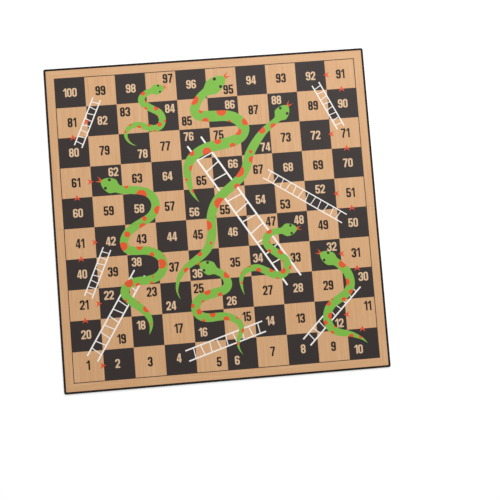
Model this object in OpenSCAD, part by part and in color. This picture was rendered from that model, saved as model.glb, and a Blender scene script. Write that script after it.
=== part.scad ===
// Folding snakes and ladders board, two leaves joined by a cloth hinge along the middle.
// The board lies open and face up, with its rows along X. The origin is under its centre.

/* [Board] */
// Side of one square
cell = 33.4; // [20:0.1:60]
// Plain border between the squares and the edge of the printed sheet
border_w = 8.6; // [4:0.1:30]
// Black rim left showing round the printed sheet
rim_w = 2.4; // [0.8:0.1:6]
// Radius of the board's outer corners
corner_r = 2; // [0.8:0.1:6]
// Radius of the printed sheet's corners
label_corner_r = 0.8; // [0.2:0.1:3]

/* [Thicknesses] */
// Greyboard, cover paper and printed sheet together, without the sheet
board_t = 2.2; // [1.4:0.1:5]
// Cover paper
cover_t = 0.2; // [0.1:0.05:0.4]
// Cloth hinge tape
tape_t = 0.25; // [0.1:0.05:0.5]
// Printed sheet
label_t = 0.2; // [0.1:0.05:0.5]
// Film of ink on the printed sheet
ink_t = 0.05; // [0.02:0.01:0.1]

/* [Cover and hinge] */
// Width of the cover paper turned in over the front
turn_in = 14; // [6:0.5:30]
// Width of the hinge tape on the back of a leaf
tape_flange = 16; // [8:0.5:40]
// Width of the hinge tape under the printed sheet
tape_lap = 8; // [4:0.5:20]
// Gap between the two spine edges
spine_gap = 0.4; // [0.2:0.05:1]
// Gap between the two halves of the printed sheet at the crease
crease_gap = 0.1; // [0.06:0.02:0.2]

/* [Print] */
// Width of the thin line just inside the edge of the squares
frame_line_w = 0.8; // [0.2:0.1:2]
// Gap left between two dark squares where their corners meet
corner_gap = 0.1; // [0.06:0.02:0.4]
// Length of an arrow head
arrow_len = 6.6; // [3:0.1:12]
// Width of an arrow head
arrow_w = 6.4; // [3:0.1:12]
// Depth of the notch in the back of an arrow head
arrow_notch = 2.2; // [0.5:0.1:4]
// How far a sideways arrow sits back from the line it crosses
arrow_back = 0.9; // [0:0.1:3]

/* [Hidden] */

// Squares along each side of the grid
cells = 10;
round_fn = 48;
grid = cells * cell;
label_w = grid + 2 * border_w;
board_w = label_w + 2 * rim_w;
spine_y = spine_gap / 2;
crease_y = crease_gap / 2;
label_top = board_t + label_t;
tape_w = board_w - 2 * cover_t;

// Places are in squares from the grid's lower left corner, so every table of them is in shares
// of the side of a square.

// Ladders: foot, top, distance between rails, rail width, rung width, how far the rails run past
// the first rung and the last, then the number of rungs
ladder_shares = [
    [[0.65, 0.75], [2.36, 3.40], 0.38, 0.046, 0.029, 0.27, 0.25, 10],
    [[3.71, 0.58], [6.28, 1.34], 0.355, 0.043, 0.029, 0.26, 0.18, 9],
    [[7.64, 0.70], [9.45, 2.48], 0.31, 0.045, 0.027, 0.24, 0.2, 9],
    [[0.65, 2.74], [1.36, 4.27], 0.26, 0.038, 0.024, 0.13, 0.14, 8],
    [[7.39, 2.76], [4.46, 7.58], 0.55, 0.057, 0.036, 0.84, 0.61, 11],
    [[9.22, 4.65], [6.73, 6.34], 0.32, 0.034, 0.023, 0.24, 0.15, 12],
    [[0.65, 7.69], [1.36, 9.23], 0.26, 0.038, 0.024, 0.13, 0.14, 8],
    [[9.36, 7.70], [8.64, 9.22], 0.26, 0.038, 0.024, 0.13, 0.14, 8]
];
// How far a rung's ends lean up and down the rails, against the distance between them
rung_lean_share = 0.055;

// Snakes: widths of head, neck and body, how far along the body it starts to thin, the points that
// the middle line runs through from the snout by way of the neck to the tip of the tail, then the
// spots: how far each is behind the neck and to the left of the middle line, and its radius
snake_shares = [
    [0.35, 0.19, 0.235, 0.35,
     [[3.59, 9.46], [3.15, 9.36], [2.93, 9.27], [2.82, 9.09], [2.93, 8.92], [3.15, 8.77], [3.36, 8.64],
      [3.47, 8.42], [3.40, 8.20], [3.20, 8.11], [2.95, 8.17], [2.71, 8.26], [2.49, 8.26], [2.31, 8.15],
      [2.23, 7.97], [2.27, 7.80], [2.39, 7.66], [2.56, 7.57]],
     [[0.25, -0.06, 0.08], [0.6, 0.12, 0.05], [0.75, -0.1, 0.06], [1.05, 0.07, 0.08],
      [1.25, -0.12, 0.04], [1.5, 0.11, 0.06], [1.65, -0.05, 0.08], [1.9, 0.1, 0.05],
      [2.1, -0.09, 0.06], [2.4, 0.08, 0.07], [2.7, -0.07, 0.05], [2.95, -0.05, 0.05],
      [3.25, 0.02, 0.02]]],
    [0.54, 0.27, 0.36, 0.55,
     [[5.63, 9.66], [4.93, 9.18], [4.68, 8.93], [4.56, 8.66], [4.64, 8.46], [4.86, 8.40], [5.20, 8.38],
      [5.53, 8.37], [5.82, 8.29], [6.04, 8.12], [6.14, 7.91], [6.05, 7.68], [5.82, 7.53], [5.53, 7.46],
      [5.25, 7.41], [4.98, 7.36], [4.72, 7.28], [4.48, 7.15], [4.29, 6.97], [4.19, 6.77], [4.16, 6.52],
      [4.19, 6.25], [4.24, 5.98], [4.33, 5.77], [4.48, 5.55]],
     [[0.4, -0.14, 0.17], [0.85, 0.16, 0.07], [1.15, -0.17, 0.12], [1.68, 0.16, 0.17],
      [1.97, -0.17, 0.06], [2.45, 0.13, 0.12], [2.8, -0.17, 0.12], [3.27, 0.15, 0.1],
      [3.7, -0.14, 0.12], [4.15, 0.12, 0.15], [4.6, -0.12, 0.1], [5.05, 0.15, 0.1],
      [5.45, -0.07, 0.05], [5.87, 0.07, 0.08]]],
    [0.47, 0.21, 0.30, 0.55,
     [[7.65, 8.55], [7.25, 8.11], [7.01, 7.93], [6.79, 7.76], [6.56, 7.50], [6.36, 7.21], [6.22, 6.95],
      [6.15, 6.70], [6.02, 6.44], [5.85, 6.23], [5.61, 6.03], [5.35, 5.83], [5.11, 5.63], [4.95, 5.39],
      [4.85, 5.13], [4.82, 4.87], [4.82, 4.61], [4.78, 4.36], [4.68, 4.09], [4.49, 3.86], [4.24, 3.68],
      [3.98, 3.52], [3.80, 3.36], [3.66, 3.18], [3.57, 2.95], [3.54, 2.69], [3.63, 2.42]],
     [[0.23, 0.08, 0.1], [0.6, -0.07, 0.12], [1.4, 0, 0.06], [1.65, 0.13, 0.11],
      [2.18, -0.19, 0.21], [2.62, 0.14, 0.11], [3.45, 0.13, 0.19], [4.28, -0.15, 0.17],
      [4.86, 0.03, 0.05], [5.38, -0.08, 0.08], [6.07, 0.06, 0.09], [6.9, 0.01, 0.02]]],
    [0.50, 0.265, 0.275, 0.80,
     [[1.32, 6.49], [1.87, 6.19], [2.20, 6.14], [2.50, 6.10], [2.77, 6.02], [2.96, 5.85], [3.04, 5.61],
      [2.98, 5.37], [2.81, 5.18], [2.55, 5.04], [2.29, 4.90], [2.07, 4.73], [1.94, 4.51], [1.95, 4.29],
      [2.08, 4.16], [2.33, 4.12], [2.60, 4.11], [2.87, 4.03], [3.08, 3.86], [3.16, 3.62], [3.09, 3.38],
      [2.90, 3.21], [2.63, 3.14], [2.33, 3.13], [2.06, 3.08], [1.88, 2.95], [1.84, 2.75], [1.96, 2.56],
      [2.17, 2.38], [2.37, 2.21], [2.52, 2.02], [2.60, 1.83], [2.61, 1.60], [2.53, 1.36]],
     [[0.25, 0.11, 0.07], [0.77, -0.14, 0.18], [1.62, 0.11, 0.14], [2.1, -0.06, 0.08],
      [2.28, 0.14, 0.12], [2.86, 0.01, 0.1], [3.27, -0.05, 0.14], [3.82, 0.13, 0.11],
      [4.25, -0.09, 0.08], [4.6, 0.14, 0.04], [4.79, -0.07, 0.16], [5.42, -0.07, 0.04],
      [5.53, 0.12, 0.06], [5.97, 0.12, 0.08], [6.24, -0.04, 0.14], [6.8, -0.12, 0.06],
      [7.15, 0.11, 0.03], [7.47, 0.12, 0.13], [7.95, -0.01, 0.03]]],
    [0.42, 0.205, 0.255, 0.50,
     [[7.62, 4.45], [7.08, 4.41], [6.85, 4.40], [6.66, 4.32], [6.57, 4.14], [6.63, 3.94], [6.80, 3.77],
      [7.00, 3.61], [7.17, 3.44], [7.20, 3.22], [7.11, 3.04], [6.93, 2.96], [6.69, 3.02], [6.45, 3.16],
      [6.22, 3.26], [5.98, 3.25], [5.79, 3.16], [5.68, 3.01], [5.65, 2.83], [5.67, 2.61], [5.73, 2.40]],
     [[0.37, -0.08, 0.1], [0.75, 0.13, 0.05], [0.98, -0.1, 0.07], [1.3, 0.12, 0.1],
      [1.55, -0.12, 0.04], [1.84, 0.12, 0.07], [2.03, -0.08, 0.1], [2.3, 0.12, 0.05],
      [2.55, -0.11, 0.08], [2.95, 0.08, 0.09], [3.25, -0.09, 0.05], [3.55, -0.07, 0.03],
      [3.85, 0.03, 0.05]]],
    [0.46, 0.225, 0.295, 0.35,
     [[4.34, 3.54], [4.87, 3.25], [5.08, 3.12], [5.19, 2.94], [5.20, 2.76], [5.06, 2.62], [4.80, 2.56],
      [4.50, 2.49], [4.24, 2.38], [4.11, 2.19], [4.12, 1.98], [4.28, 1.82], [4.52, 1.76], [4.79, 1.77],
      [5.06, 1.76], [5.30, 1.67], [5.49, 1.51], [5.54, 1.32], [5.49, 1.15], [5.42, 0.98], [5.39, 0.81],
      [5.43, 0.64], [5.53, 0.47]],
     [[0.33, 0.09, 0.12], [1, 0.11, 0.08], [1.38, -0.12, 0.12], [1.63, 0.14, 0.06],
      [1.97, -0.1, 0.07], [2.19, 0.08, 0.1], [2.48, -0.12, 0.06], [2.75, 0.1, 0.1],
      [3.2, -0.09, 0.1], [3.53, 0.11, 0.06], [3.94, 0.06, 0.07], [4.38, -0.03, 0.06]]],
    [0.45, 0.26, 0.285, 0.50,
     [[8.33, 3.57], [8.83, 3.24], [9.00, 3.08], [9.15, 2.91], [9.23, 2.68], [9.23, 2.44], [9.11, 2.23],
      [8.91, 2.08], [8.69, 1.96], [8.50, 1.80], [8.40, 1.58], [8.38, 1.35], [8.46, 1.12], [8.63, 0.98],
      [8.85, 0.91], [9.08, 0.86], [9.30, 0.77], [9.49, 0.66], [9.64, 0.51]],
     [[0.19, 0.08, 0.13], [0.81, -0.14, 0.12], [1.13, 0.11, 0.09], [1.43, 0.11, 0.08],
      [1.73, -0.12, 0.04], [1.9, -0.1, 0.08], [2.25, 0.12, 0.11], [2.47, -0.09, 0.08],
      [2.75, 0.13, 0.05], [2.8, -0.09, 0.06], [3.41, -0.06, 0.08], [3.71, 0.03, 0.06]]]
];
// Steps along the curve between two points of a middle line, and round half a head
curve_steps = 4;
head_steps = 12;
// Where along the head it is widest, and how square its front is, with 2 for an oval
head_wide_share = 0.62;
head_power = 1.8;
// Eyes: how far along the head and out from its middle they are, and their diameter against its width
eye_along_share = 0.36;
eye_out_share = 0.61;
eye_share = 0.2;
// How much of the body swells behind the neck, and how fast the tail thins
swell_share = 0.2;
taper_power = 2.5;
// The two forks of a tongue against the width of the head: how far inside the snout they start, how
// wide they are there and how far off their points are, then the angle of each to the head's middle
tongue_root_share = 0.06;
tongue_w_share = 0.17;
tongue_len_share = 0.46;
fork_angle = 24;

// Which ladders and snakes reach on to each leaf
lower_ladder_list = [0, 1, 2, 3, 4, 5];
upper_ladder_list = [4, 5, 6, 7];
lower_snake_list = [2, 3, 4, 5, 6];
upper_snake_list = [0, 1, 2, 3];

// From squares to the board's own frame
function place(p) = [(p[0] - cells / 2) * cell, (p[1] - cells / 2) * cell];
function unit(v) = v / norm(v);
function across(v) = [-v[1], v[0]];

// Smooth curve through four neighbouring points, between the middle two
function curve_at(a, b, c, d, t) = (2 * b + (c - a) * t + (2 * a - 5 * b + 4 * c - d) * pow(t, 2)
    + (3 * b - a - 3 * c + d) * pow(t, 3)) / 2;
// The middle line behind the neck, which is the second point of the list
function body_line(pts) = concat(
    [for (i = [1 : len(pts) - 2], k = [0 : curve_steps - 1])
        curve_at(pts[i - 1], pts[i], pts[i + 1], pts[min(i + 2, len(pts) - 1)], k / curve_steps)],
    [pts[len(pts) - 1]]);
function lengths(line) =
    [for (i = 0, s = 0; i < len(line); s = s + norm(line[min(i + 1, len(line) - 1)] - line[i]),
        i = i + 1) s];
function heading(line, i) = unit(line[min(i + 1, len(line) - 1)] - line[max(i - 1, 0)]);

function smooth(t) = (1 - cos(180 * min(max(t, 0), 1))) / 2;
// Width of the body, from the neck at 0 to the tip of the tail at 1
function body_width(snake, t) =
    let (neck = snake[1], full = snake[2], thins = snake[3],
         thin = t < thins ? 0 : pow((t - thins) / (1 - thins), taper_power))
    (neck + (full - neck) * smooth(t / swell_share)) * (1 - thin);
// Width of the head, from the snout at 0 to the neck at 1
function head_width(snake, t) =
    t < head_wide_share
    ? snake[0] * pow(1 - pow(1 - t / head_wide_share, head_power), 1 / head_power)
    : snake[1] + (snake[0] - snake[1]) * (1 - smooth((t - head_wide_share) / (1 - head_wide_share)));
// Even turns round the front of the head, then even steps back to the neck
function head_stations() = concat(
    [for (k = [0 : head_steps]) head_wide_share * (1 - cos(90 * k / head_steps))],
    [for (k = [1 : head_steps - 1]) head_wide_share + (1 - head_wide_share) * k / head_steps]);

// One side of a snake from snout to tail, with side 1 to its left and -1 to its right
function snake_side(snake, side) =
    let (pts = snake[4], axis = unit(pts[1] - pts[0]), line = body_line(pts), run = lengths(line),
         whole = run[len(run) - 1])
    concat(
        [for (t = head_stations()) pts[0] + (pts[1] - pts[0]) * t
            + across(axis) * side * head_width(snake, t) / 2],
        [for (i = [0 : len(line) - 2]) line[i]
            + across(heading(line, i)) * side * body_width(snake, run[i] / whole) / 2]);
function reversed(list) = [for (i = [len(list) - 1 : -1 : 0]) list[i]];
function inner(list) = [for (i = [1 : len(list) - 1]) list[i]];

module snake_outline(snake) {
    pts = snake[4];
    outline = concat(snake_side(snake, 1), [pts[len(pts) - 1]], reversed(inner(snake_side(snake, -1))));
    polygon([for (p = outline) place(p)]);
}

module snake_spots(snake) {
    line = body_line(snake[4]);
    run = lengths(line);
    for (spot = snake[5]) {
        i = max([for (j = [0 : len(run) - 2]) if (run[j] <= spot[0]) j]);
        on_line = line[i] + (line[i + 1] - line[i]) * (spot[0] - run[i]) / (run[i + 1] - run[i]);
        translate(place(on_line + across(heading(line, i)) * spot[1]))
            circle(r = spot[2] * cell, $fn = round_fn);
    }
}

module snake_eyes(snake) {
    pts = snake[4];
    axis = unit(pts[1] - pts[0]);
    for (side = [-1, 1])
        translate(place(pts[0] + (pts[1] - pts[0]) * eye_along_share
            + across(axis) * side * eye_out_share * snake[0] / 2))
            circle(d = eye_share * snake[0] * cell, $fn = round_fn);
}

// A bar drawn from one point to another
module bar(from, to, w) {
    side = across(unit(to - from)) * w / 2;
    polygon([for (p = [from - side, to - side, to + side, from + side]) place(p)]);
}

module snake_tongue(snake) {
    snout = snake[4][0];
    axis = unit(snout - snake[4][1]);
    root = snout - axis * tongue_root_share * snake[0];
    out = across(axis) * tongue_w_share * snake[0] / 2;
    for (side = [-1, 1]) {
        fork = axis * cos(fork_angle) + across(axis) * side * sin(fork_angle);
        polygon([for (p = [root - out, root + fork * tongue_len_share * snake[0], root + out])
            place(p)]);
    }
}

module ladder_outline(ladder) {
    foot = ladder[0];
    top = ladder[1];
    up = unit(top - foot);
    out = across(up) * ladder[2] / 2;
    rungs = ladder[7];
    span = norm(top - foot) - ladder[5] - ladder[6];
    for (side = [-1, 1]) bar(foot + out * side, top + out * side, ladder[3]);
    for (k = [0 : rungs - 1]) {
        mid = foot + up * (ladder[5] + span * k / (rungs - 1));
        lean = up * rung_lean_share * ladder[2] * (k % 2 == 0 ? 1 : -1);
        bar(mid - out - lean, mid + out + lean, ladder[4]);
    }
}

// An arrow head pointing along +X, centred on the origin
module arrow_head() {
    polygon([[arrow_len / 2, 0], [-arrow_len / 2, arrow_w / 2], [arrow_notch - arrow_len / 2, 0],
             [-arrow_len / 2, -arrow_w / 2]]);
}

// Up the side at the end of each row, and on from each row's first square
module arrows_outline() {
    for (row = [1 : cells - 1])
        translate(place([row % 2 == 1 ? cells - 1 / 2 : 1 / 2, row])) rotate(90) arrow_head();
    for (row = [0 : cells - 1]) {
        ahead = row % 2 == 0;
        translate(place([ahead ? 1 : cells - 1, row + 1 / 2]))
            translate([(ahead ? -1 : 1) * arrow_back, 0]) rotate(ahead ? 0 : 180) arrow_head();
    }
}

module ladders_outline(list) { for (i = list) ladder_outline(ladder_shares[i]); }
module snakes_outline(list) { for (i = list) snake_outline(snake_shares[i]); }
module tongues_outline(list) { for (i = list) snake_tongue(snake_shares[i]); }
module spots_outline(list) { for (i = list) snake_spots(snake_shares[i]); }
module eyes_outline(list) { for (i = list) snake_eyes(snake_shares[i]); }

// The even squares are dark
module dark_squares(rows) {
    for (row = rows, col = [0 : cells - 1])
        if ((row + col) % 2 == 1)
            translate(place([col + 1 / 2, row + 1 / 2]))
                square([cell - corner_gap, cell - corner_gap], center = true);
}

module frame_line() {
    difference() {
        square([grid, grid], center = true);
        square([grid - 2 * frame_line_w, grid - 2 * frame_line_w], center = true);
    }
}

// The part of the sheet that lies on one leaf, with side 1 for the upper and -1 for the lower
module leaf_window(side) {
    reach = label_w / 2;
    translate([-reach, side > 0 ? crease_y : -reach]) square([label_w, reach - crease_y]);
}

// A print is a film on the sheet, cut at the crease
module print_film(side) {
    translate([0, 0, label_top]) linear_extrude(ink_t) intersection() {
        leaf_window(side);
        union() children();
    }
}

module dark_print(side, rows, ladder_list, snake_list) {
    print_film(side) {
        difference() {
            union() {
                dark_squares(rows);
                frame_line();
            }
            ladders_outline(ladder_list);
            snakes_outline(snake_list);
            tongues_outline(snake_list);
            arrows_outline();
        }
        eyes_outline(snake_list);
    }
}

module ladder_print(side, ladder_list, snake_list) {
    print_film(side) difference() {
        ladders_outline(ladder_list);
        snakes_outline(snake_list);
        tongues_outline(snake_list);
    }
}

module snake_print(side, snake_list) {
    print_film(side) difference() {
        snakes_outline(snake_list);
        spots_outline(snake_list);
        eyes_outline(snake_list);
    }
}

module spot_print(side, snake_list) {
    print_film(side) {
        intersection() {
            snakes_outline(snake_list);
            spots_outline(snake_list);
        }
        difference() {
            tongues_outline(snake_list);
            snakes_outline(snake_list);
        }
    }
}

module arrow_print(side, ladder_list, snake_list) {
    print_film(side) difference() {
        arrows_outline();
        ladders_outline(ladder_list);
        snakes_outline(snake_list);
        tongues_outline(snake_list);
    }
}

// Outline of the upper leaf, drawn in from its three free edges and begun at a distance from the fold
module leaf_outline(inset, near, r) {
    half = board_w / 2 - inset;
    translate([-half, near]) square([2 * half, half - r - near]);
    translate([r - half, near]) square([2 * (half - r), half - near]);
    for (side = [-1, 1]) translate([side * (half - r), half - r]) circle(r = r, $fn = round_fn);
}

// Back sheet, three edges and the turn-ins of one leaf, as one folded sheet
module cover_paper() {
    linear_extrude(cover_t) leaf_outline(0, spine_y + tape_flange, corner_r);
    linear_extrude(board_t) difference() {
        leaf_outline(0, spine_y, corner_r);
        leaf_outline(cover_t, spine_y, corner_r - cover_t);
    }
    translate([0, 0, board_t - cover_t]) linear_extrude(cover_t) difference() {
        leaf_outline(0, spine_y + tape_lap, corner_r);
        translate([turn_in - board_w / 2, spine_y + tape_lap])
            square([board_w - 2 * turn_in, board_w / 2 - turn_in - spine_y - tape_lap]);
    }
}

// Back flange, spine edge and front lap of one half of the tape
module hinge_tape() {
    translate([-tape_w / 2, spine_y, 0]) {
        cube([tape_w, tape_flange, tape_t]);
        cube([tape_w, tape_t, board_t]);
        translate([0, 0, board_t - tape_t]) cube([tape_w, tape_lap, tape_t]);
    }
}

// The greyboard fills what the paper and the tape wrap round
module core_board() {
    difference() {
        translate([0, 0, cover_t]) linear_extrude(board_t - cover_t)
            leaf_outline(cover_t, spine_y + tape_t, corner_r - cover_t);
        cover_paper();
        hinge_tape();
    }
}

module label() {
    translate([0, 0, board_t]) linear_extrude(label_t) leaf_outline(rim_w, crease_y, label_corner_r);
}

// The lower leaf is built as the upper one, turned over the fold
module over_fold() { mirror([0, 1, 0]) children(); }

lower_rows = [0 : cells / 2 - 1];
upper_rows = [cells / 2 : cells - 1];

module lower_core_board() { color("#8f8a80") over_fold() core_board(); }
module upper_core_board() { color("#8f8a80") core_board(); }
module lower_cover_paper() { color("#262524") over_fold() cover_paper(); }
module upper_cover_paper() { color("#262524") cover_paper(); }
module lower_label() { color("#d5a67d") over_fold() label(); }
module upper_label() { color("#d5a67d") label(); }
module lower_hinge_tape() { color("#1d1c1c") over_fold() hinge_tape(); }
module upper_hinge_tape() { color("#1d1c1c") hinge_tape(); }
module lower_dark_print() {
    color("#423c3b") dark_print(-1, lower_rows, lower_ladder_list, lower_snake_list);
}
module upper_dark_print() {
    color("#423c3b") dark_print(1, upper_rows, upper_ladder_list, upper_snake_list);
}
module lower_ladders() { color("#f4efe8") ladder_print(-1, lower_ladder_list, lower_snake_list); }
module upper_ladders() { color("#f4efe8") ladder_print(1, upper_ladder_list, upper_snake_list); }
module lower_snakes() { color("#84be56") snake_print(-1, lower_snake_list); }
module upper_snakes() { color("#84be56") snake_print(1, upper_snake_list); }
module lower_snake_spots() { color("#ec5e37") spot_print(-1, lower_snake_list); }
module upper_snake_spots() { color("#ec5e37") spot_print(1, upper_snake_list); }
module lower_arrows() { color("#e95032") arrow_print(-1, lower_ladder_list, lower_snake_list); }
module upper_arrows() { color("#e95032") arrow_print(1, upper_ladder_list, upper_snake_list); }

lower_core_board();
upper_core_board();
lower_cover_paper();
upper_cover_paper();
lower_label();
upper_label();
lower_hinge_tape();
upper_hinge_tape();
lower_dark_print();
upper_dark_print();
lower_ladders();
upper_ladders();
lower_snakes();
upper_snakes();
lower_snake_spots();
upper_snake_spots();
lower_arrows();
upper_arrows();
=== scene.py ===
# Folding snakes and ladders board, lying open on a pale floor.
# Sizes are in millimetres and turned to metres by mm.
import math

import bmesh
import bpy
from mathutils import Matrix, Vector


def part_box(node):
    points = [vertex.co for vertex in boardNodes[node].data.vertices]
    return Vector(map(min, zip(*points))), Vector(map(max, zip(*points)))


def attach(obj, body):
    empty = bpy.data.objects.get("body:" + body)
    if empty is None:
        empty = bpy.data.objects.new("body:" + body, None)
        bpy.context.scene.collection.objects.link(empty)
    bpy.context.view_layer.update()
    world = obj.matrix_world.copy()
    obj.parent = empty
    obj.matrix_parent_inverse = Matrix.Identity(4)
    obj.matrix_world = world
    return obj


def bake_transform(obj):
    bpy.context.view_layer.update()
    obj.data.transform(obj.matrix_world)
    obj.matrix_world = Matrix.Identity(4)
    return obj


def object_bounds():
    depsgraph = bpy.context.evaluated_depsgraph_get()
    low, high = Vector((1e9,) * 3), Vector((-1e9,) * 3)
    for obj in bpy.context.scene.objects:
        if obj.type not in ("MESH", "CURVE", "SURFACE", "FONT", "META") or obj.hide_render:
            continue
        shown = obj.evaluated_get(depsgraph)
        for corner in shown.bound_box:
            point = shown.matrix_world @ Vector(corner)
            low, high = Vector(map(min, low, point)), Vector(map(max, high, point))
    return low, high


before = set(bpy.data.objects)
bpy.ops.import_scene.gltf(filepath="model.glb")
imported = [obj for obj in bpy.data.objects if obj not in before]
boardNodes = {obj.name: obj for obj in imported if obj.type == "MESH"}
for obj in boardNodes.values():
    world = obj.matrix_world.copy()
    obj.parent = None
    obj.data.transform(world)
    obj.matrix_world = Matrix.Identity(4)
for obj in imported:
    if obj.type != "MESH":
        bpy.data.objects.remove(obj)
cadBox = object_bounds()
mm = 0.001
print("board loaded:", len(boardNodes), "pieces")

leaves = ("lower", "upper")
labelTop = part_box("lower_label")[1].z
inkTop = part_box("lower_dark_print")[1].z
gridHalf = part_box("lower_dark_print")[1].x  # the thin line's outer edge is the grid's edge
boardHalf = cadBox[1].x
squares = 10  # along each side of the grid
cell = 2 * gridHalf / squares


# From a hex value to linear light, by the sRGB standard's own curve
def srgb(text):
    channels = [int(text[i:i + 2], 16) / 255 for i in (1, 3, 5)]
    return [c / 12.92 if c <= 0.04045 else ((c + 0.055) / 1.055) ** 2.4 for c in channels] + [1]


def perMetre(size):
    return 1 / (size * mm)  # the texture scale that makes one cell of a pattern that many millimetres


# Adds a shader node: inputs are set by name or number, or linked where the value is another's output
def addNode(tree, kind, inputs, **settings):
    new = tree.nodes.new("ShaderNode" + kind)
    for name, value in settings.items():
        setattr(new, name, value)
    for socket, value in inputs.items():
        if isinstance(value, bpy.types.NodeSocket):
            tree.links.new(value, new.inputs[socket])
        else:
            new.inputs[socket].default_value = value
    return new


def newMaterial(name, look):
    material = bpy.data.materials.new(name)
    material.use_nodes = True
    tree = material.node_tree
    shader = tree.nodes["Principled BSDF"]
    shader.inputs["Roughness"].default_value = look["roughness"]
    shader.inputs["Specular IOR Level"].default_value = look["specular"]
    shader.inputs["Sheen Weight"].default_value = look.get("sheen", 0)
    return material, tree, shader, addNode(tree, "TexCoord", {}).outputs["Object"]


def calculate(tree, operation, a, b=0):
    return addNode(tree, "Math", {0: a, 1: b}, operation=operation).outputs[0]


def remap(tree, value, low, high, toLow=0, toHigh=1):
    return addNode(tree, "MapRange", {"Value": value, "From Min": low, "From Max": high,
                                      "To Min": toLow, "To Max": toHigh}).outputs[0]


# A Mix node takes its two colours on inputs 6 and 7 and gives the blend on output 2
def blendColours(tree, share, a, b):
    return addNode(tree, "Mix", {"Factor": share, 6: a, 7: b}, data_type="RGBA").outputs[2]


def mottle(tree, place, size, detail=2):
    return addNode(tree, "TexNoise", {"Vector": place, "Scale": perMetre(size),
                                      "Detail": detail}).outputs[0]


# Soft patches: none where the noise is under its span, the whole share where it is over it
def patches(tree, place, size, span, share=1, detail=2):
    return remap(tree, mottle(tree, place, size, detail), *span, 0, share)


# Noise drawn out into streaks, so wide across X and so long along Y
def streaks(tree, place, across, along, detail=3):
    stretch = (perMetre(across), perMetre(along), perMetre(along))
    drawn = addNode(tree, "Mapping", {"Vector": place, "Scale": stretch}).outputs[0]
    return addNode(tree, "TexNoise", {"Vector": drawn, "Scale": 1, "Detail": detail}).outputs[0]


def relief(tree, shader, height, depth):
    bump = addNode(tree, "Bump", {"Height": height, "Distance": depth * mm})
    tree.links.new(bump.outputs[0], shader.inputs["Normal"])


# How far a point lies from the board's centre lines, whichever is more
def reachFromCentre(tree, place):
    axes = addNode(tree, "SeparateXYZ", {0: place})
    x = calculate(tree, "ABSOLUTE", axes.outputs[0])
    y = calculate(tree, "ABSOLUTE", axes.outputs[1])
    return axes, x, y, calculate(tree, "MAXIMUM", x, y)


# The same point with X and Y changed over, which turns a pattern from along Y to along X
def changedOver(tree, axes):
    return addNode(tree, "CombineXYZ", {0: axes.outputs[1], 1: axes.outputs[0]}).outputs[0]


# Coated art paper, offset printed with a wood pattern and satin varnished: an even pale tan with fine
# streaks up the board, turned along the top and bottom borders as if those were mitred battens
sheetLook = {
    "pale": "#dbb085", "deep": "#cf9c6c", "pore": "#b5804c",
    "streakAcross": 1.1, "streakAlong": 46, "streakSpan": (0.3, 0.7),
    "poreAcross": 0.5, "poreAlong": 7, "poreSpan": (0.56, 0.78), "poreShare": 0.3,
    "cloud": 70, "cloudSpan": (0.35, 0.65), "cloudShare": 0.12,
    "tooth": 0.35, "toothDepth": 0.006, "roughness": 0.46, "specular": 0.25,
}


def woodPrintedSheet():
    look = sheetLook
    material, tree, shader, place = newMaterial("Wood pattern printed art paper", look)
    axes, x, y, reach = reachFromCentre(tree, place)
    inBorder = calculate(tree, "GREATER_THAN", reach, gridHalf)
    batten = calculate(tree, "MULTIPLY", inBorder, calculate(tree, "GREATER_THAN", y, x))
    # For vectors a Mix node's inputs are 4 and 5 and its output is 1
    grain = addNode(tree, "Mix", {"Factor": batten, 4: place, 5: changedOver(tree, axes)},
                    data_type="VECTOR").outputs[1]
    streak = streaks(tree, grain, look["streakAcross"], look["streakAlong"])
    streak = remap(tree, streak, *look["streakSpan"])
    pores = streaks(tree, grain, look["poreAcross"], look["poreAlong"], detail=2)
    pores = remap(tree, pores, *look["poreSpan"], 0, look["poreShare"])
    cloud = patches(tree, place, look["cloud"], look["cloudSpan"], look["cloudShare"])
    tan = blendColours(tree, streak, srgb(look["pale"]), srgb(look["deep"]))
    tan = blendColours(tree, pores, tan, srgb(look["pore"]))
    tan = blendColours(tree, cloud, tan, srgb(look["pale"]))
    tree.links.new(tan, shader.inputs["Base Color"])
    relief(tree, shader, mottle(tree, place, look["tooth"]), look["toothDepth"])
    return material


# Offset ink under the same varnish: flat colour, a little uneven as ink on paper is
inkLook = {
    "cloud": 24, "cloudSpan": (0.35, 0.65), "cloudShare": 0.3,
    "speck": 0.55, "speckSpan": (0.5, 0.8), "speckShare": 0.25,
    "tooth": 0.35, "toothDepth": 0.006, "roughness": 0.44, "specular": 0.15,
}


def offsetInk(name, colour, shade):
    look = inkLook
    material, tree, shader, place = newMaterial(name, look)
    cloud = patches(tree, place, look["cloud"], look["cloudSpan"], look["cloudShare"])
    speck = patches(tree, place, look["speck"], look["speckSpan"], look["speckShare"], detail=1)
    ink = blendColours(tree, cloud, srgb(colour), srgb(shade))
    ink = blendColours(tree, speck, ink, srgb(shade))
    tree.links.new(ink, shader.inputs["Base Color"])
    relief(tree, shader, mottle(tree, place, look["tooth"]), look["toothDepth"])
    return material


# Black cover paper embossed with a fine leather grain: dull, but its pebbles catch the light. It is
# rubbed a little paler in soft patches by handling, and worn here and there along the board's edges.
# A real pebble is about 0.8 mm, too fine to show from here, so the grain is drawn coarser
coverLook = {
    # grey colours the pebble tops and black the valleys, which are painted darker: painted shade in the
    # grain's hollows
    "black": "#110d0b", "grey": "#2b2420", "pebble": 2.4, "bendPebbles": 3, "valleySpan": (0.15, 0.55),
    "rub": 55, "rubbed": "#35312d", "rubSpan": (0.48, 0.7), "rubShare": 0.35,
    "wearWidth": 0.5, "worn": "#45413c", "wearPatch": 5, "wearSpan": (0.52, 0.72), "wearShare": 0.3,
    "fibre": 0.5, "fibreShare": 0.3, "depth": 0.16,
    "smooth": 0.42, "roughness": 0.68, "specular": 0.12,
}


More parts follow.
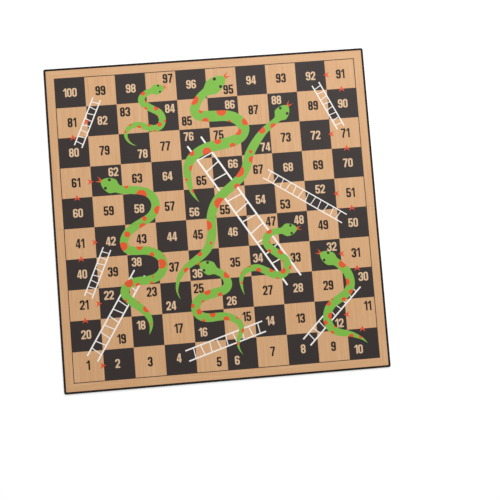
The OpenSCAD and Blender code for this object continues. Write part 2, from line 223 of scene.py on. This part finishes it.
def embossedCoverPaper():
    look = coverLook
    material, tree, shader, place = newMaterial("Leather grain embossed cover paper", look)
    bendScale = perMetre(look["pebble"] * look["bendPebbles"])
    bend = addNode(tree, "TexNoise", {"Vector": place, "Scale": bendScale}).outputs[1]
    bend = addNode(tree, "VectorMath", {0: bend, 1: [look["pebble"] * mm] * 3}, operation="MULTIPLY")
    bent = addNode(tree, "VectorMath", {0: place, 1: bend.outputs[0]}, operation="ADD").outputs[0]
    pebbles = addNode(tree, "TexVoronoi", {"Vector": bent, "Scale": perMetre(look["pebble"])},
                      feature="SMOOTH_F1").outputs["Distance"]
    valleys = remap(tree, pebbles, *look["valleySpan"])
    # The valleys of the grain are painted near black and the pebble tops grey: painted shade in the
    # hollows
    black = blendColours(tree, valleys, srgb(look["grey"]), srgb(look["black"]))
    rubs = patches(tree, place, look["rub"], look["rubSpan"], look["rubShare"], detail=4)
    rubs = calculate(tree, "MULTIPLY", rubs, calculate(tree, "SUBTRACT", 1, valleys))
    black = blendColours(tree, rubs, black, srgb(look["rubbed"]))
    tree.links.new(remap(tree, valleys, 0, 1, look["smooth"], look["roughness"]),
                   shader.inputs["Roughness"])
    *_, reach = reachFromCentre(tree, place)
    edge = remap(tree, reach, boardHalf - look["wearWidth"] * mm, boardHalf)
    wear = patches(tree, place, look["wearPatch"], look["wearSpan"], look["wearShare"], detail=4)
    wear = calculate(tree, "MULTIPLY", edge, wear)
    black = blendColours(tree, wear, black, srgb(look["worn"]))
    tree.links.new(black, shader.inputs["Base Color"])
    fibres = calculate(tree, "MULTIPLY", mottle(tree, place, look["fibre"]), look["fibreShare"])
    relief(tree, shader, calculate(tree, "SUBTRACT", fibres, valleys), look["depth"])
    return material


# Book cloth, plain woven cotton filled and dyed black: its threads stand up as a small check with
# thicker ones here and there. Real threads are about 0.4 mm apart, too fine to show from here, so they
# are drawn coarser
clothLook = {
    # gap colours the hollows between the threads, painted darker than the threads: painted shade between
    # them
    "black": "#322f2c", "gap": "#0a0908", "thread": 3, "waver": 0.6, "waverDetail": 1,
    "slubAcross": 2, "slubAlong": 34, "slubSpan": (0.35, 0.7), "thinnest": 0.25,
    "depth": 0.25, "roughness": 0.8, "specular": 0.15, "sheen": 0.06,
}


def wovenBookCloth():
    look = clothLook
    material, tree, shader, place = newMaterial("Woven book cloth", look)
    axes = addNode(tree, "SeparateXYZ", {0: place})
    bands = perMetre(look["thread"]) * math.pi / 10  # a wave texture's band is pi / 10 wide at scale 1
    threads = []
    for run in (place, changedOver(tree, axes)):
        even = addNode(tree, "TexWave", {"Vector": run, "Scale": bands, "Distortion": look["waver"],
                                         "Detail": look["waverDetail"]}).outputs["Fac"]
        slubs = streaks(tree, run, look["slubAcross"], look["slubAlong"])
        slubs = remap(tree, slubs, *look["slubSpan"], look["thinnest"], 1)
        threads.append(calculate(tree, "MULTIPLY", even, slubs))
    raised = calculate(tree, "ADD", *threads)
    # Where the threads sink between each other the colour goes to the near black gap colour: painted shade
    # between the threads
    tree.links.new(blendColours(tree, raised, srgb(look["gap"]), srgb(look["black"])),
                   shader.inputs["Base Color"])
    relief(tree, shader, raised, look["depth"])
    return material


# Greyboard, pressed from waste paper: matt warm grey with paler and darker fibres
greyboardLook = {
    "pale": "#a19b90", "dark": "#7d776d", "fibreAcross": 3, "fibreAlong": 0.3,
    "fleck": "#d0c9bb", "fleckSize": 1.6, "fleckSpan": (0.62, 0.72),
    "depth": 0.02, "roughness": 0.9, "specular": 0.2,
}


def pressedGreyboard():
    look = greyboardLook
    material, tree, shader, place = newMaterial("Pressed greyboard", look)
    fibres = streaks(tree, place, look["fibreAcross"], look["fibreAlong"])
    flecks = patches(tree, place, look["fleckSize"], look["fleckSpan"], detail=3)
    grey = blendColours(tree, fibres, srgb(look["pale"]), srgb(look["dark"]))
    tree.links.new(blendColours(tree, flecks, grey, srgb(look["fleck"])), shader.inputs["Base Color"])
    relief(tree, shader, fibres, look["depth"])
    return material


finishes = {
    "core_board": pressedGreyboard(),
    "cover_paper": embossedCoverPaper(),
    "label": woodPrintedSheet(),
    "hinge_tape": wovenBookCloth(),
    "dark_print": offsetInk("Charcoal offset ink", "#342c2a", "#2b2523"),
    "ladders": offsetInk("White offset ink", "#fefbf6", "#efe7dc"),
    "snakes": offsetInk("Green offset ink", "#80bc4b", "#75b041"),
    "snake_spots": offsetInk("Orange offset ink", "#e65b32", "#da522b"),
    "arrows": offsetInk("Red offset ink", "#ea5233", "#dd4a2d"),
}
for leaf in leaves:
    for part, finish in finishes.items():
        for slot in boardNodes[leaf + "_" + part].material_slots:
            slot.material = finish
print("materials made:", len(finishes))


# Gives a finished bmesh an object, its material and the body it rides on
def finishPiece(name, shape, finish=None, leaf=None):
    mesh = bpy.data.meshes.new(name)
    shape.to_mesh(mesh)
    shape.free()
    if finish:
        mesh.materials.append(finish)
    piece = bpy.data.objects.new(name, mesh)
    bpy.context.scene.collection.objects.link(piece)
    if leaf:
        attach(piece, leaf + "_leaf")
    return piece


# A flat rectangle, cut into so many steps along Y. It starts as a square with sides of 1
def flatSheet(width, length, middle, steps=1):
    shape = bmesh.new()
    points = bmesh.ops.create_grid(shape, x_segments=1, y_segments=steps, size=0.5)["verts"]
    bmesh.ops.scale(shape, vec=(width, length, 1), verts=points)
    bmesh.ops.translate(shape, vec=middle, verts=points)
    return shape


# Makes flat faces into a solid, upwards, or downwards where the height is below zero
def thicken(shape, height):
    moved = bmesh.ops.extrude_face_region(shape, geom=shape.faces[:])["geom"]
    moved = [part for part in moved if isinstance(part, bmesh.types.BMVert)]
    bmesh.ops.translate(shape, vec=(0, 0, height), verts=moved)
    bmesh.ops.recalc_face_normals(shape, faces=shape.faces[:])


# The numbers of the squares, in plain narrow bold figures whose level strokes are a little thinner than
# the others. Pale ones lie on the charcoal squares and dark ones on the tan, a little larger and bolder.
# film is a figure's thickness, and proud is how far a pale one stands above the charcoal
numeral = {
    "pale": {"height": 9.6, "width": 5.1, "oneWidth": 3.6, "stroke": 1.75},
    "dark": {"height": 10.4, "width": 5.3, "oneWidth": 3.75, "stroke": 2.1},
    "thinner": 0.88, "corner": 2.3, "cornerSteps": 8,
    "gap": 0.5, "film": 0.02, "proud": 0.005,
}
# Each figure in shares of its own box. Rings and cuts are left, bottom, right and top: the open rings
# have the cuts taken out, then the whole rings and the straight strokes are joined on
bar = 0.168  # a straight level stroke's share of the height
figureShapes = {
    "0": {"rings": [(0, 0, 1, 1)]},
    "1": {"strokes": [[(0.53, 0), (1, 0), (1, 1), (0.53, 1)],
                      [(0, 0.67), (0.54, 0.75), (0.54, 1), (0.43, 1), (0.33, 0.87), (0, 0.81)]]},
    "2": {"open": [(0, 0.3, 1, 1)], "cuts": [(-0.1, 0.2, 1.1, 0.6), (-0.1, 0.5, 0.5, 0.69)],
          "strokes": [[(0.623, 0.62), (1, 0.62), (1, 0.57), (0.44, 0.16), (0, 0.16), (0.623, 0.57)],
                      [(0, 0), (0.98, 0), (0.98, bar), (0, bar)]]},
    "3": {"open": [(0, 0.425, 1, 1), (0, 0, 1, 0.575)], "cuts": [(-0.1, 0.3, 0.42, 0.7)]},
    "4": {"strokes": [[(0.52, 0), (0.88, 0), (0.88, 1), (0.52, 1)],
                      [(0, 0.18), (1, 0.18), (1, 0.34), (0, 0.34)],
                      [(0, 0.2), (0.26, 0.2), (0.26, 0.34), (0.6, 0.88), (0.6, 1), (0.46, 1), (0, 0.34)]]},
    "5": {"open": [(0, 0, 1, 0.64)], "cuts": [(-0.1, 0.3, 0.5, 0.42)],
          "strokes": [[(0, 0.425), (0.35, 0.425), (0.4, 0.9), (0.05, 0.9)],
                      [(0.05, 1 - bar), (0.95, 1 - bar), (0.95, 1), (0.05, 1)]]},
    "6": {"open": [(0, 0, 1, 1)], "cuts": [(0.5, 0.25, 1.1, 0.71)], "rings": [(0, 0, 1, 0.6)]},
    "7": {"strokes": [[(0, 1 - bar), (0.98, 1 - bar), (0.98, 1), (0, 1)],
                      [(0.19, 0), (0.56, 0), (0.63, 0.3), (0.98, 0.8), (0.98, 0.86), (0.62, 0.86),
                       (0.27, 0.3)]]},
    "8": {"rings": [(0.01, 0.43, 0.99, 1), (0, 0, 1, 0.575)]},
    "9": {"open": [(0, 0, 1, 1)], "cuts": [(-0.1, 0.29, 0.5, 0.75)], "rings": [(0, 0.4, 1, 1)]},
}
# Where a number makes room for a snake or a ladder: how far it sits from its square's centre, in squares
numberShifts = {
    97: (0.24, 0.25), 95: (0.22, -0.26), 83: (-0.24, 0.23), 84: (0.24, 0.24), 85: (-0.23, -0.22),
    86: (0.23, 0.23), 88: (-0.21, 0.27), 78: (0.24, -0.2), 76: (-0.21, 0.26), 75: (-0.22, 0.24),
    74: (0.3, -0.27), 62: (0.24, 0.27), 65: (0.1, -0.23), 66: (0.18, 0.25), 56: (-0.21, -0.25),
    55: (-0.2, -0.25), 53: (-0.2, -0.22), 52: (0, 0.19), 45: (-0.15, 0), 47: (0.28, 0.25),
    48: (0.21, 0.23), 38: (-0.21, 0.26), 36: (-0.26, -0.27), 34: (-0.24, 0.08), 32: (0.22, 0.26),
    22: (-0.18, 0.25), 23: (0.21, 0.25), 24: (-0.19, -0.25), 25: (-0.26, 0.24), 26: (-0.21, -0.25),
    30: (0.18, 0.2), 20: (0, 0.04), 19: (0.13, -0.19), 18: (-0.21, 0.2), 16: (-0.22, -0.19),
    15: (0.24, 0.2), 12: (0.26, -0.26), 11: (0.24, 0.23), 1: (0, 0.05), 2: (-0.05, 0.03),
    4: (-0.06, 0.04), 5: (0.23, -0.19), 6: (-0.18, -0.19), 10: (-0.18, -0.16),
}


def figureWidth(figure, tone):
    return numeral[tone]["oneWidth" if figure == "1" else "width"] * mm


# A flat ring with rounded corners, squashed at the end so that its level sides come out thinner
def addRing(shape, box, size, stroke):
    left, bottom, right, top = box
    height = size[1] / numeral["thinner"]
    middle = ((left + right) / 2 * size[0], (bottom + top) / 2 * height, 0)
    ring = flatSheet((right - left) * size[0], (top - bottom) * height, middle)
    bmesh.ops.bevel(ring, geom=ring.verts[:], affect="VERTICES", offset=numeral["corner"] * mm,
                    segments=numeral["cornerSteps"], profile=0.5, material=-1)
    inside = ring.faces[:]
    bmesh.ops.inset_region(ring, faces=inside, thickness=stroke * mm,
                           use_even_offset=True, use_boundary=True)
    bmesh.ops.delete(ring, geom=inside, context="FACES")
    bmesh.ops.scale(ring, vec=(1, numeral["thinner"], 1), verts=ring.verts[:])
    mesh = bpy.data.meshes.new("ring")
    ring.to_mesh(mesh)
    ring.free()
    shape.from_mesh(mesh)
    bpy.data.meshes.remove(mesh)


def addOutline(shape, outline, size):
    shape.faces.new([shape.verts.new((x * size[0], y * size[1], 0)) for x, y in outline])


# A loose block from flat faces, from one height up to another
def makeBlock(name, shape, low, high):
    bmesh.ops.translate(shape, vec=(0, 0, low), verts=shape.verts[:])
    thicken(shape, high - low)
    return finishPiece(name, shape)


def makeFigure(figure, tone):
    parts = figureShapes[figure]
    size = (figureWidth(figure, tone), numeral[tone]["height"] * mm)
    stroke = numeral[tone]["stroke"]
    blank = bmesh.new()
    for box in parts.get("open", []):
        addRing(blank, box, size, stroke)
    cuts = bmesh.new()
    for left, bottom, right, top in parts.get("cuts", []):
        addOutline(cuts, [(left, bottom), (right, bottom), (right, top), (left, top)], size)
    whole = bmesh.new()
    for box in parts.get("rings", []):
        addRing(whole, box, size, stroke)
    for outline in parts.get("strokes", []):
        addOutline(whole, outline, size)
    film = numeral["film"] * mm
    blank = makeBlock("blank" + figure, blank, 0, film)
    tools = {"DIFFERENCE": makeBlock("cuts" + figure, cuts, -film, 2 * film),
             "UNION": makeBlock("whole" + figure, whole, 0, film)}
    for operation, tool in tools.items():
        step = blank.modifiers.new(operation, "BOOLEAN")
        step.operation = operation
        step.object = tool
        step.use_self = True
    made = bpy.data.meshes.new_from_object(blank.evaluated_get(bpy.context.evaluated_depsgraph_get()))
    for spent in (blank, *tools.values()):
        bpy.data.objects.remove(spent)
    return made


tones = ("pale", "dark")
figures = {tone: {figure: makeFigure(figure, tone) for figure in figureShapes} for tone in tones}
print("figures made:", len(figureShapes), "in", len(tones), "weights")

numberInks = {
    "pale": offsetInk("Pale tan offset ink", "#e2c09c", "#dab48e"),
    "dark": offsetInk("Black offset ink", "#1c1613", "#15100e"),
}


# All the numbers of one tone on one leaf, counted to and fro from the lower left square
def layNumbers(leaf, tone):
    onDark = tone == "pale"
    shape = bmesh.new()
    low = inkTop + numeral["proud"] * mm - numeral["film"] * mm if onDark else labelTop
    gap = numeral["gap"] * mm
    half = squares * squares // 2
    first = 1 if leaf == "lower" else half + 1
    for number in range(first, first + half):
        row, step = divmod(number - 1, squares)
        column = step if row % 2 == 0 else squares - 1 - step
        darkSquare = (row + column) % 2 == 1
        if darkSquare != onDark:
            continue
        shift = numberShifts.get(number, (0, 0))
        text = str(number)
        run = sum(figureWidth(figure, tone) for figure in text) + (len(text) - 1) * gap
        x = (column + 0.5 + shift[0]) * cell - gridHalf - run / 2
        y = (row + 0.5 + shift[1]) * cell - gridHalf - numeral[tone]["height"] * mm / 2
        for figure in text:
            before = len(shape.verts)
            shape.from_mesh(figures[tone][figure])
            bmesh.ops.translate(shape, vec=(x, y, low), verts=shape.verts[before:])
            x += figureWidth(figure, tone) + gap
    piece = finishPiece(leaf + "_numbers_" + tone, shape, numberInks[tone], leaf)


for leaf in leaves:
    for tone in tones:
        layNumbers(leaf, tone)
print("numbers laid: 1 to", squares * squares)


# The cloth between the two halves of the hinge tape, which bends as the board folds
crease = {"steps": 12}


def hingeCrease():
    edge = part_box("upper_hinge_tape")[0].y
    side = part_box("upper_hinge_tape")[1].x
    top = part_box("upper_hinge_tape")[1].z
    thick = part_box("upper_core_board")[0].y - edge  # the tape's thickness round the spine edge
    shape = flatSheet(2 * side, 2 * edge, (0, 0, top), crease["steps"])
    thicken(shape, -thick)
    strip = finishPiece("hinge_crease", shape, finishes["hinge_tape"])
    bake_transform(strip)


hingeCrease()
print("crease made")


# 1 for rays from the camera, off gloss and through glass, and 0 for the light that falls on the board
def seenRays(tree):
    path = addNode(tree, "LightPath", {})
    seen = calculate(tree, "MAXIMUM", path.outputs["Is Camera Ray"], path.outputs["Is Glossy Ray"])
    return calculate(tree, "MAXIMUM", seen, path.outputs["Is Transmission Ray"])


# Pale studio floor, white to the camera and in reflections, with the board's own shadow kept. It is
# lifted more the farther it lies from the board, because the softbox lights the far floor less
floorLook = {"size": 6000, "grey": "#dcdcdc", "near": 450, "far": 1400, "lift": 0.45, "farLift": 0.75,
             "roughness": 1, "specular": 0}


def paleFloor():
    look = floorLook
    material, tree, shader, place = newMaterial("Pale studio floor", look)
    shader.inputs["Base Color"].default_value = srgb(look["grey"])
    away = addNode(tree, "VectorMath", {0: place}, operation="LENGTH").outputs["Value"]
    lift = remap(tree, away, look["near"] * mm, look["far"] * mm, look["lift"], look["farLift"])
    lift = calculate(tree, "MULTIPLY", seenRays(tree), lift)
    shader.inputs["Emission Color"].default_value = srgb("#ffffff")
    tree.links.new(lift, shader.inputs["Emission Strength"])
    shape = flatSheet(look["size"] * mm, look["size"] * mm, (0, 0, 0))
    finishPiece("floor", shape, material)


# Soft even light: a bright room and one large softbox over the board's top edge
light = {"room": 0.42, "softbox": 1100, "place": (280, 610, 1000), "watts": 12}


def studioLight():
    world = bpy.data.worlds.new("Studio room")
    bpy.context.scene.world = world
    world.use_nodes = True
    tree = world.node_tree
    background = tree.nodes["Background"]
    background.inputs["Color"].default_value = srgb("#ffffff")
    strength = remap(tree, seenRays(tree), 0, 1, light["room"], 1)
    tree.links.new(strength, background.inputs["Strength"])
    lamp = bpy.data.lights.new("Softbox", "AREA")
    lamp.size = light["softbox"] * mm
    lamp.energy = light["watts"]
    softbox = bpy.data.objects.new("Softbox", lamp)
    softbox.location = Vector(light["place"]) * mm
    softbox.rotation_euler = softbox.location.to_track_quat("Z", "Y").to_euler()
    bpy.context.scene.collection.objects.link(softbox)


# The photograph's view: almost straight down over the board, turned by so many degrees. The lens is
# shifted a little because the board lies in the upper left of the picture
view = {"place": (3.27, -44.26, 661.4), "turn": (2.65, -1.667, -4.502), "lens": 43.2, "sensor": 36,
        "shift": (0.02, -0.04)}


def overheadCamera():
    lens = bpy.data.cameras.new("Overhead camera")
    lens.lens = view["lens"]
    lens.sensor_width = view["sensor"]
    lens.shift_x, lens.shift_y = view["shift"]
    camera = bpy.data.objects.new("Overhead camera", lens)
    camera.location = Vector(view["place"]) * mm
    camera.rotation_euler = [math.radians(angle) for angle in view["turn"]]
    bpy.context.scene.collection.objects.link(camera)
    bpy.context.scene.camera = camera


paleFloor()
studioLight()
overheadCamera()
bpy.context.scene.view_settings.view_transform = "Standard"
print("floor, light and camera set")
